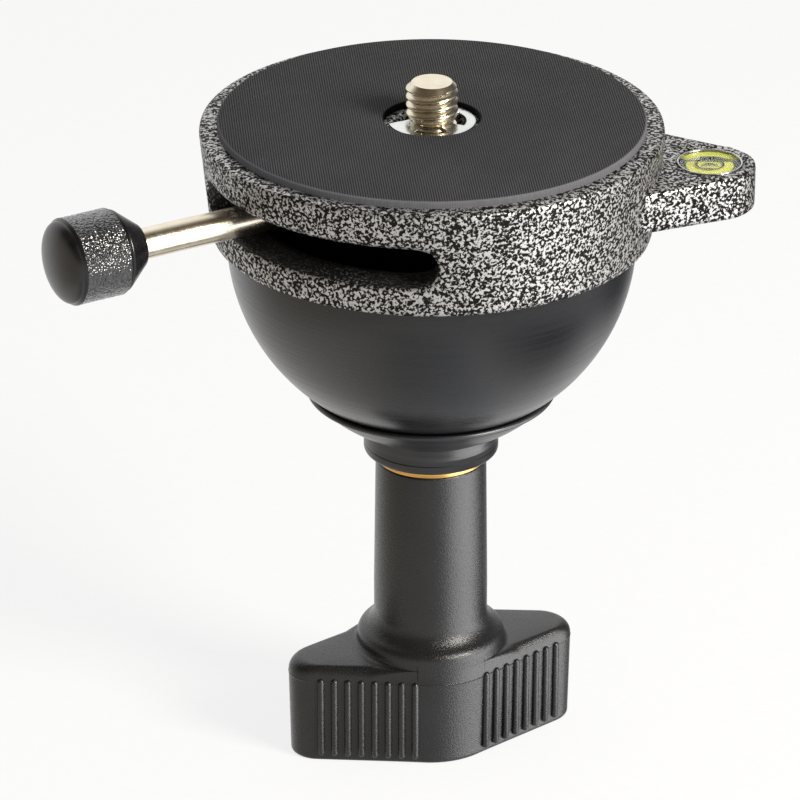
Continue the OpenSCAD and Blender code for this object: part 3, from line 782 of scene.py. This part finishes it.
def lever_knob():
    """A hollow knob turned about Z, whose band is raised into small domes."""
    mouth_r = rod_r + mouth_gap
    dome_z = knob_len - knob_dome
    hollow_r = rod_r + bore_gap
    band = (knob_cone + knob_lip, dome_z - knob_lip)
    cap_r = knob_r - knob_step
    section = [(0, bore_end), (hollow_r, bore_end), (hollow_r, mouth_lip)]
    section += [(mouth_r, mouth_lip), (mouth_r, 0)]
    section += arc(rod_r + 1, nose_round, nose_round, -90, -20, 3)
    section += arc(cap_r - shoulder_round, knob_cone - 0.3, shoulder_round, -35, 35, 4)
    section += [(knob_r - band_in, band[0] - band_ease)]
    section += [(knob_r, band[0] + (band[1] - band[0]) * i / band_rows) for i in range(band_rows + 1)]
    section += [(knob_r - band_in, band[1] + band_ease)]
    section += arc(cap_r - dome_round, dome_z - 0.1, dome_round, 40, 0, 3)
    section += [(r, dome_z + z * knob_dome / cap_r) for r, z in arc(0, 0, cap_r, 8, 90, 14)]
    bm = lathe(section, 200)
    for vert in bm.verts:
        r, degrees, z = polar(vert.co)
        depth = min(z - band[0], band[1] - z)
        if depth > CLOSE and r > knob_r - 2 * CLOSE:
            near = noise.voronoi(vert.co / (pebble * MM))[0][0]
            rise = max(0, 1 - (near / pebble_share) ** 2) * min(1, depth / pebble_fade)
            vert.co = from_polar(knob_r - pebble_height * (1 - rise), degrees, z)
    for face in bm.faces:
        r, degrees, z = polar(face.calc_center_median())
        face.material_index = int(band[0] < z < band[1] and r > knob_r - 2 * pebble_height)
    return along_lever(place(bm, shift(0, 0, knob_from)))


knob = add_piece("pebbled_knob", lever_knob(), "lever", phenolic, "knob_plastic", "lever_knob")
knob.data.materials.append(pebbled)


# Bubble level: cup, tinted vial, spirit, printed ring, bubble and lens

cup_wall, cup_floor = 0.35, 0.8
cup_edge = 0.15
inside_r = level_r - cup_wall
lens_t, lens_gap, lens_edge = 0.25, 0.03, 0.2
pool_gap, pool_edge, bubble_sink = 0.32, 0.15, 0.1
window_low = lens_high[2] - lens_t
pool_top = window_low - pool_gap
mark_mid, mark_half, mark_h, mark_gap = 2.47, 0.19, 0.04, 0.07
level_steps = 96
bubble_h = 0.15


def at_level(section, steps, closed=False):
    """A turned shape on the level's own axis."""
    return place(lathe(section, steps, closed), shift(level_at, 0, 0))


cup_section = [(0, cup_low[2]), (level_r - cup_edge, cup_low[2]), (level_r, cup_low[2] + cup_edge)]
cup_section += arc(level_r - cup_edge, cup_high[2] - cup_edge, cup_edge, 0, 90, 3)
cup_section += arc(inside_r + cup_edge, cup_high[2] - cup_edge, cup_edge, 90, 180, 3)
cup_section += [(inside_r, cup_low[2] + cup_floor), (0, cup_low[2] + cup_floor)]
add_piece("level_case", at_level(cup_section, level_steps), "base", level_metal, "level_metal", "level_cup")

vial_floor = cup_low[2] + cup_floor
vial_gap, vial_bore_gap = 0.02, 0.05
vial_r, vial_bore_r = inside_r - vial_gap, spirit_r + vial_bore_gap
vial_section = [(vial_bore_r, vial_floor), (vial_r, vial_floor), (vial_r, window_low - vial_gap)]
vial_section += [(vial_r - 0.1, window_low - vial_gap - 0.01), (vial_bore_r, pool_top - vial_gap)]
add_piece("level_vial", at_level(vial_section, level_steps, closed=True), "base", tinted, "level_fluid")

spirit_section = [(0, vial_floor), (spirit_r, vial_floor), (spirit_r, pool_top - 0.2)]
spirit_section += arc(spirit_r - pool_edge, pool_top - pool_edge, pool_edge, 0, 90, 3)
spirit_section += [(2, pool_top), (0, pool_top)]
add_piece("level_spirit_pool", at_level(spirit_section, level_steps), "base", spirit, "level_fluid",
          "level_fluid")

mark_z = window_low - mark_gap
mark_section = [(mark_mid - mark_half, mark_z), (mark_mid + mark_half, mark_z)]
mark_section += [(mark_mid + mark_half / 2, mark_z + mark_h), (mark_mid - mark_half / 2, mark_z + mark_h)]
add_piece("level_print", at_level(mark_section, 72, closed=True), "base", ink, "level_mark", "level_ring")

bubble_section = [(0, pool_top - bubble_sink), (bubble_r, pool_top - bubble_sink)]
bubble_section += [(r, pool_top + z * bubble_h / bubble_r) for r, z in arc(0, 0, bubble_r, 0, 90, 8)]
bubble = place(at_level(bubble_section, 48), shift(0, bubble_y, 0))
add_piece("level_bubble", bubble, "base", bubble_air, "level_fluid")

lens_r = inside_r - lens_gap
lens_section = [(0, window_low), (lens_r, window_low)]
lens_section += arc(lens_r - lens_edge, lens_high[2] - lens_edge, lens_edge, 0, 90, 3) + [(0, lens_high[2])]
add_piece("level_window", at_level(lens_section, 72), "base", acrylic, "level_lens", "level_lens")


# Clamp: a dish that follows the ball, and a turned collar below it

dish_r = dish_high[0]
dish_gap, dish_edge, collar_seat = 0.35, 0.5, 0.45
dish_in = ball_r + dish_gap
neck_ease, neck_lip, neck_drop = 0.5, 0.12, 0.3
collar_r = collar_high[0]
neck_r = bush_high[0]
dish_foot = collar_high[2] - collar_seat
rim_z = dish_high[2] - dish_edge
dish_drop = (dish_foot ** 2 - dish_r ** 2 - rim_z ** 2) / (2 * (rim_z - dish_foot))
dish_out = -dish_foot - dish_drop
bead_round, bead_gap, bead_end = 0.55, 0.12, -40
bead_r = dish_r - bead_round
bead_z = -math.sqrt((ball_r + bead_gap + bead_round) ** 2 - bead_r ** 2)
bead_deg = 180 - math.degrees(math.atan2(-bead_z, bead_r))
rim_deg = -math.degrees(math.acos((bead_r - bead_round) / dish_in))
rim_out_deg = -math.degrees(math.acos((bead_r - bead_round / 2) / dish_out))
neck_deg = -math.degrees(math.acos((collar_r + neck_ease) / dish_out))
bore_in_deg = -math.degrees(math.acos(neck_r / dish_in))
dish_section = arc(0, 0, dish_in, bore_in_deg, rim_deg, 24)
dish_section += arc(bead_r, bead_z, bead_round, bead_deg, bead_end, 12)
dish_section += arc(0, -dish_drop, dish_out, rim_out_deg, neck_deg, 16)
dish_section += [(collar_r + neck_lip, dish_section[-1][1] - neck_drop)]
dish_section += [(collar_r, collar_high[2]), (neck_r, collar_high[2])]
dish = lathe(dish_section, WIDE_STEPS, closed=True)
dish_cup = add_piece("clamp_cup", dish, "clamp", clamp_black, "clamp_black", "clamp_dish")

collar_edge = 0.7
groove, groove_half = 0.12, 0.1
collar_mid = (collar_low[2] + collar_edge + collar_high[2]) / 2
collar_section = [(neck_r, collar_low[2])]
collar_section += arc(collar_r - collar_edge, collar_low[2] + collar_edge, collar_edge, -90, 0, 5)
collar_section += [(collar_r, collar_mid - groove_half), (collar_r - groove, collar_mid)]
collar_section += [(collar_r, collar_mid + groove_half)]
collar_section += [(collar_r, collar_high[2]), (neck_r, collar_high[2])]
add_piece("turned_collar", lathe(collar_section, WIDE_STEPS, closed=True), "clamp", clamp_black,
          "clamp_black", "collar")

washer_edge, washer_gap = 0.2, 0.3
washer_r, washer_in = washer_high[0], bore_r + washer_gap
washer_section = [(washer_in, washer_low[2]), (washer_r - washer_edge, washer_low[2])]
washer_section += arc(washer_r - washer_edge, washer_low[2] + washer_edge, washer_edge, -90, 0, 3)[1:]
washer_section += arc(washer_r - washer_edge, washer_high[2] - washer_edge, washer_edge, 0, 90, 3)
washer_section += [(washer_in, washer_high[2])]
washer = add_piece("brass_ring", lathe(washer_section, 120, closed=True), "grip", brass, "brass",
                   "brass_washer")


# Grip: a column that flares into a hub with two wings, and ribs on the wings' faces

grip_top, wing_z = grip_high[2], grip_low[2]
column_top_r, column_foot_r = washer_r, 10.7
column_edge, column_h = 0.5, 31.5
flare_top = grip_top - column_h
hub_wall_r = 13.9
cove_r, shoulder_r = 4.5, 2.2
flare_turn = math.degrees(math.acos(1 - (hub_wall_r - column_foot_r) / (cove_r + shoulder_r)))
shoulder_z = flare_top - (cove_r + shoulder_r) * math.sin(math.radians(flare_turn))
wing_drop = 1.5
wing_top = shoulder_z - wing_drop
wing_reach, wing_tip_r, wing_turn = 28, 4.8, 20.5
wing_draft, wing_round, wing_foot = 0.35, 2.6, 0.8
wing_fillet = 1.1
wing_tip_at = wing_reach - wing_tip_r
wing_taper = math.degrees(math.asin((hub_wall_r - wing_tip_r) / wing_tip_at))
core_r = plug_high[0]
throat_in, throat_h = 0.6, 18
throat_r, throat_z = core_r - throat_in, grip_top - throat_h
parting_drop, parting_half, parting_h = 0.35, 0.12, 0.07
parting_z = wing_top - wing_round - parting_drop
row_gap, row_lean = 0.4, 0.01        # rows beside the parting line and the foot keep the wall between flat
column_row = 6
rib_count, rib_pitch, rib_r = 8, 2.55, 0.68
rib_foot, rib_head, rib_edge, rib_sink = 1.9, 0.45, 1.75, 0.02


def wing_outline(degrees):
    """Reach of the winged outline from the axis, in a direction counted from the wings."""
    off = abs((degrees + 90) % 180 - 90)
    t = math.radians(off)
    tip_end = math.degrees(math.atan2(wing_tip_r * math.cos(math.radians(wing_taper)),
                                      wing_tip_at + wing_tip_r * math.sin(math.radians(wing_taper))))
    if off < tip_end:
        return wing_tip_at * math.cos(t) + math.sqrt(wing_tip_r ** 2 - (wing_tip_at * math.sin(t)) ** 2)
    if off < 90 - wing_taper:
        return hub_wall_r / math.cos(math.radians(90 - wing_taper - off))
    return hub_wall_r


def grip_body():
    """A turned column and foot, whose foot is then drawn out to the wings' outline."""
    section = [(throat_r, throat_z), (throat_r, grip_top)]
    section += arc(column_top_r - column_edge, grip_top - column_edge, column_edge, 90, 0, 4)
    section += [(column_foot_r, flare_top + column_row)]
    section += arc(column_foot_r + cove_r, flare_top, cove_r, 180, 180 + flare_turn, 10)
    section += arc(hub_wall_r - shoulder_r, shoulder_z, shoulder_r, flare_turn, 0, 10)[1:]
    section += arc(hub_wall_r + wing_fillet, wing_top + wing_fillet, wing_fillet, 180, 270, 6)
    section += arc(wing_reach - wing_round, wing_top - wing_round, wing_round, 90, 0, 8)
    section += [(wing_reach, parting_z + parting_half), (wing_reach + parting_h, parting_z)]
    section += [(wing_reach, parting_z - parting_half), (wing_reach - row_lean, parting_z - row_gap)]
    section += [(wing_reach - wing_draft + row_lean, wing_z + wing_foot + row_gap)]
    section += arc(wing_reach - wing_draft - wing_foot, wing_z + wing_foot, wing_foot, 0, -90, 5)
    section += [(core_r, wing_z), (core_r, throat_z)]
    bm = lathe(section, 360, closed=True)
    for vert in bm.verts:
        r, degrees, z = polar(vert.co)
        if r < hub_wall_r - CLOSE or z > wing_top + wing_fillet + CLOSE:
            continue
        reach = wing_outline(degrees - wing_turn)
        share = min(1, (reach - hub_wall_r) / (wing_fillet + wing_round))
        share = 0 if share < 0.02 else share
        if z > wing_top - wing_round - CLOSE:
            z = wing_top + (z - wing_top) * share
        if r < (hub_wall_r + wing_reach) / 2 and z > wing_z + 1:
            r = hub_wall_r + (r - hub_wall_r) * share
        elif z > wing_top - wing_round - CLOSE:
            r = reach - (wing_reach - r) * share
        else:
            r = reach - (wing_reach - r)
        vert.co = from_polar(r, degrees, z)
    return tidy(bm)


def wing_rib():
    """One rib, round at both ends, standing on Z."""
    foot, head = wing_z + rib_foot, wing_top - wing_round - rib_head
    section = arc(0, foot, rib_r, -90, 0, 4) + arc(0, head, rib_r, 0, 90, 4)
    return lathe(section, 16)


def grip():
    """The body with a row of ribs on each of the wings' four faces."""
    bm = grip_body()
    out = hub_wall_r - rib_sink
    first = wing_tip_at * math.cos(math.radians(wing_taper)) - rib_edge - (rib_count - 1) * rib_pitch
    for half in (0, 180):
        for side in (-1, 1):
            for i in range(rib_count):
                rib = place(wing_rib(), shift(out, -side * (first + i * rib_pitch), 0),
                            turn(side * (90 - wing_taper) + half + wing_turn, "Z"))
                join(bm, rib)
    return bm


handle = add_piece("winged_grip", grip(), "grip", grip_black, "grip_nylon", "handle", sharp=50)


# Floor, camera, lamps and surroundings

def pale_floor():
    """White card: soft, and white to the camera and in reflections, where it keeps the object's shadow."""
    finish, tree, card, spot = new_finish("white_card", Roughness=0.9)
    fibre = add(tree, "TexNoise", {"Vector": spot, "Scale": per_mm(2), "Detail": 2.0})
    paper = add(tree, "ValToRGB", {"Fac": fibre}, stops=((0.3, "#f0f0f0"), (0.7, "#f6f6f6")))
    plug(tree, card, {"Base Color": paper})
    path = add(tree, "LightPath").node.outputs
    seen = add(tree, "Math", {0: path["Is Camera Ray"], 1: path["Is Glossy Ray"]}, operation="MAXIMUM")
    seen = add(tree, "Math", {0: seen, 1: path["Is Transmission Ray"]}, operation="MAXIMUM")
    share = add(tree, "Math", {0: seen, 1: 0.8}, operation="MULTIPLY")
    white = add(tree, "Emission", {"Color": linear("#ffffff"), "Strength": 1.0})
    both = add(tree, "MixShader", {0: share, 1: card.outputs[0], 2: white})
    plug(tree, tree.nodes["Material Output"], {"Surface": both})
    return finish


floor_half = 3        # metres
bm = bmesh.new()
bmesh.ops.create_grid(bm, x_segments=8, y_segments=8, size=floor_half)
bmesh.ops.translate(bm, vec=(0, 0, wing_z * MM), verts=bm.verts)
floor_mesh = bpy.data.meshes.new("floor")
bm.to_mesh(floor_mesh)
bm.free()
floor_mesh.materials.append(pale_floor())
floor = bpy.data.objects.new("floor", floor_mesh)
bpy.context.scene.collection.objects.link(floor)
floor.visible_glossy = False
floor.visible_shadow = False

focal_px, frame_px, sensor_mm = 4969, 800, 36
camera_pitch, camera_turn = 25.521, 2.298
eye = Vector((0.02762, -0.83246, 0.36389))
lens = bpy.data.cameras.new("view")
lens.sensor_width = sensor_mm
lens.lens = sensor_mm * focal_px / frame_px
lens.clip_end = 20
camera = bpy.data.objects.new("view", lens)
camera.location = eye
camera.rotation_euler = (math.radians(90 - camera_pitch), 0, math.radians(camera_turn))
bpy.context.scene.collection.objects.link(camera)
bpy.context.scene.camera = camera


def softbox(name, place_at, aim, width, height, watts, colour, *lit):
    """A large soft lamp that looks at a point, flagged off from all but the lit pieces if any are named."""
    lamp = bpy.data.lights.new(name, "AREA")
    lamp.shape = "RECTANGLE"
    lamp.size, lamp.size_y = width, height
    lamp.energy = watts
    lamp.color = linear(colour)[:3]
    stand = bpy.data.objects.new(name, lamp)
    stand.location = place_at
    stand.rotation_euler = (Vector(aim) - Vector(place_at)).to_track_quat("-Z", "Y").to_euler()
    bpy.context.scene.collection.objects.link(stand)
    if lit:
        stand.light_linking.receiver_collection = bpy.data.collections.new(name)
        for piece in lit:
            stand.light_linking.receiver_collection.objects.link(piece)


softbox("key", (0.667, -0.433, 0.42), (0, 0, 0), 0.32, 0.32, 10, "#fffaf2")
softbox("strip", (0.59, -0.192, -0.25), (0, 0, -0.25), 0.74, 0.7, 6.6, "#ffffff", dish_cup, washer, handle)
softbox("fill", (0.557, -0.272, -0.185), (0, 0, -0.185), 0.605, 0.57, 2.4, "#ffffff", casting, rod)


def surroundings():
    """A white room to the camera; in reflections white behind, grey on the right and dim in front."""
    world = bpy.data.worlds.new("studio")
    bpy.context.scene.world = world
    world.use_nodes = True
    tree = world.node_tree
    path = add(tree, "LightPath").node.outputs
    way = add(tree, "SeparateXYZ", {0: add(tree, "TexCoord", out="Generated")}).node.outputs
    left_right = add(tree, "MapRange", {"Value": way["X"], "From Min": -0.8, "From Max": 0.8})
    sides = ((0, "#cdc3b7"), (0.45, "#dedad5"), (0.8, "#dcdcde"))
    side = add(tree, "ValToRGB", {"Fac": left_right}, stops=sides)
    above = add(tree, "MapRange", {"Value": way["Z"], "From Max": 0.35})
    ahead = add(tree, "Mix", {0: above, 6: side, 7: linear("#4c4236")}, 2, data_type="RGBA")
    behind = add(tree, "MapRange", {"Value": way["Y"], "From Min": 0.15, "From Max": 0.55})
    back = add(tree, "ValToRGB", {"Fac": left_right}, stops=((0.55, "#ffffff"), (0.85, "#4c4c50")))
    wall = add(tree, "Mix", {0: behind, 6: ahead, 7: back}, 2, data_type="RGBA")
    cards = ((0.15, "#f6f2ec"), (0.4, "#bdbbb9"), (0.62, "#d0d2d7"), (0.74, "#ffffff"), (0.96, "#66666a"))
    near = add(tree, "ValToRGB", {"Fac": left_right}, stops=cards)
    far = add(tree, "ValToRGB", {"Fac": left_right}, stops=((0.2, "#f4f0ea"), (0.5, "#ffffff")))
    beyond = add(tree, "MapRange", {"Value": way["Y"], "From Min": 0.1, "From Max": 0.5})
    table = add(tree, "Mix", {0: beyond, 6: near, 7: far}, 2, data_type="RGBA")
    below = add(tree, "MapRange", {"Value": way["Z"], "From Min": -0.5, "From Max": -0.64})
    room = add(tree, "Mix", {0: below, 6: wall, 7: table}, 2, data_type="RGBA")
    overhead = add(tree, "MapRange", {
        "Value": way["Z"], "From Min": 0.1, "From Max": 0.4, "To Min": 1.0, "To Max": 1.2})
    soft = add(tree, "Background", {"Color": linear("#ffffff"), "Strength": 0.5})
    mirrored = add(tree, "Background", {"Color": room, "Strength": overhead})
    white = add(tree, "Background", {"Color": linear("#ffffff"), "Strength": 1.0})
    glossy = add(tree, "Math", {
        0: path["Is Glossy Ray"], 1: path["Is Transmission Ray"]}, operation="MAXIMUM")
    lit = add(tree, "MixShader", {0: glossy, 1: soft, 2: mirrored})
    seen = add(tree, "MixShader", {0: path["Is Camera Ray"], 1: lit, 2: white})
    plug(tree, tree.nodes["World Output"], {"Surface": seen})


surroundings()
bpy.context.scene.view_settings.view_transform = "Standard"
